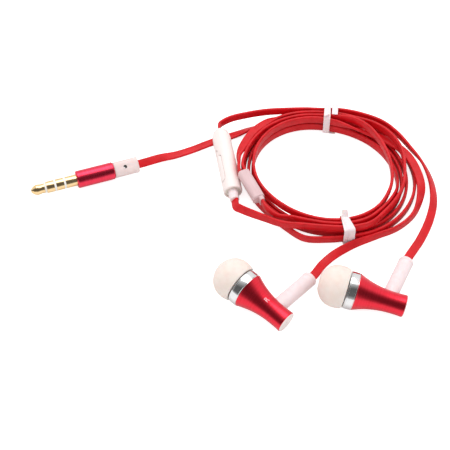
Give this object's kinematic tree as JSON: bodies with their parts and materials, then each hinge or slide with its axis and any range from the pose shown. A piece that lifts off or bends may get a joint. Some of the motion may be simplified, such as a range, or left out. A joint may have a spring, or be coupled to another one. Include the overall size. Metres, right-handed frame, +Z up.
{
  "type": "wired earphones",
  "caption": "Wired in-ear earphones with horn-shaped metal buds, an inline remote and a flat cord wound into an oval coil held by twist ties.",
  "frame": {"origin": "on the floor, under the middle of the box round the two earbuds", "axes": "+X along the longer side of the pair of earbuds, towards the left bud; +Y away from the buds towards the wound cord; +Z up"},
  "size_m": [0.1211, 0.0833, 0.0121],
  "materials": {
    "ear_tip_silicone": "satin",
    "mesh_cloth": "matt",
    "inner_plastic": "satin",
    "chrome_ring": "polished",
    "diaphragm_film": "satin",
    "copper": "bare",
    "plated_steel": "plated",
    "circuit_board": "matt",
    "horn_metal": "anodised, satin",
    "white_plastic": "gloss",
    "white_rubber": "satin",
    "gold_plating": "polished",
    "insulator": "gloss",
    "barrel_metal": "anodised, satin",
    "black_plastic": "matt",
    "tie_paper": "satin",
    "cord_jacket": "satin"
  },
  "bodies": {
    "earphones": {"right_acoustic_mesh": "mesh_cloth", "right_nozzle": "inner_plastic", "right_bezel": "chrome_ring", "right_diaphragm": "diaphragm_film", "right_voice_coil": "copper", "right_magnet": "plated_steel", "right_yoke": "plated_steel", "right_driver_frame": "inner_plastic", "right_terminal_board": "circuit_board", "right_inner_wires": "copper", "right_housing": "horn_metal", "right_rear_cap": "white_plastic", "right_boot": "white_rubber", "right_cable_stop": "plated_steel", "left_ear_tip": "ear_tip_silicone", "left_acoustic_mesh": "mesh_cloth", "left_nozzle": "inner_plastic", "left_bezel": "chrome_ring", "left_diaphragm": "diaphragm_film", "left_voice_coil": "copper", "left_magnet": "plated_steel", "left_yoke": "plated_steel", "left_driver_frame": "inner_plastic", "left_terminal_board": "circuit_board", "left_inner_wires": "copper", "left_housing": "horn_metal", "left_rear_cap": "white_plastic", "left_boot": "white_rubber", "left_cable_stop": "plated_steel", "plug_tip": "gold_plating", "plug_ring_1": "gold_plating", "plug_ring_2": "gold_plating", "plug_sleeve": "gold_plating", "plug_insulators": "insulator", "plug_core": "insulator", "plug_barrel": "barrel_metal", "plug_boot": "white_rubber", "remote_shell": "white_plastic", "remote_end_ring": "white_plastic", "remote_relief": "white_rubber", "remote_board": "circuit_board", "remote_switch": "black_plastic", "remote_microphone": "plated_steel", "splitter_upper": "white_plastic", "splitter_lower": "white_plastic", "splitter_joint": "black_plastic", "twist_tie_top": "tie_paper", "twist_tie_bottom": "tie_paper", "cord_lead": "cord_jacket", "cord_coil": "cord_jacket", "cord_tail": "cord_jacket", "cord_left_lower": "cord_jacket", "cord_left_upper": "cord_jacket", "cord_right": "cord_jacket"},
    "right_tip": {"right_ear_tip": "ear_tip_silicone"},
    "button": {"remote_button": "white_plastic"}
  },
  "joints": [
    {"name": "right_ear_tip_pull", "type": "slide", "parent": "earphones", "child": "right_tip", "axis": [-0.7412, 0.6535, 0.1535], "range_m": [0, 0.009]},
    {"name": "button_press", "type": "slide", "parent": "earphones", "child": "button", "axis": [0.8521, 0.1557, -0.4997], "range_m": [0, 0.0003], "stiffness_N_per_m": 1000}
  ]
}
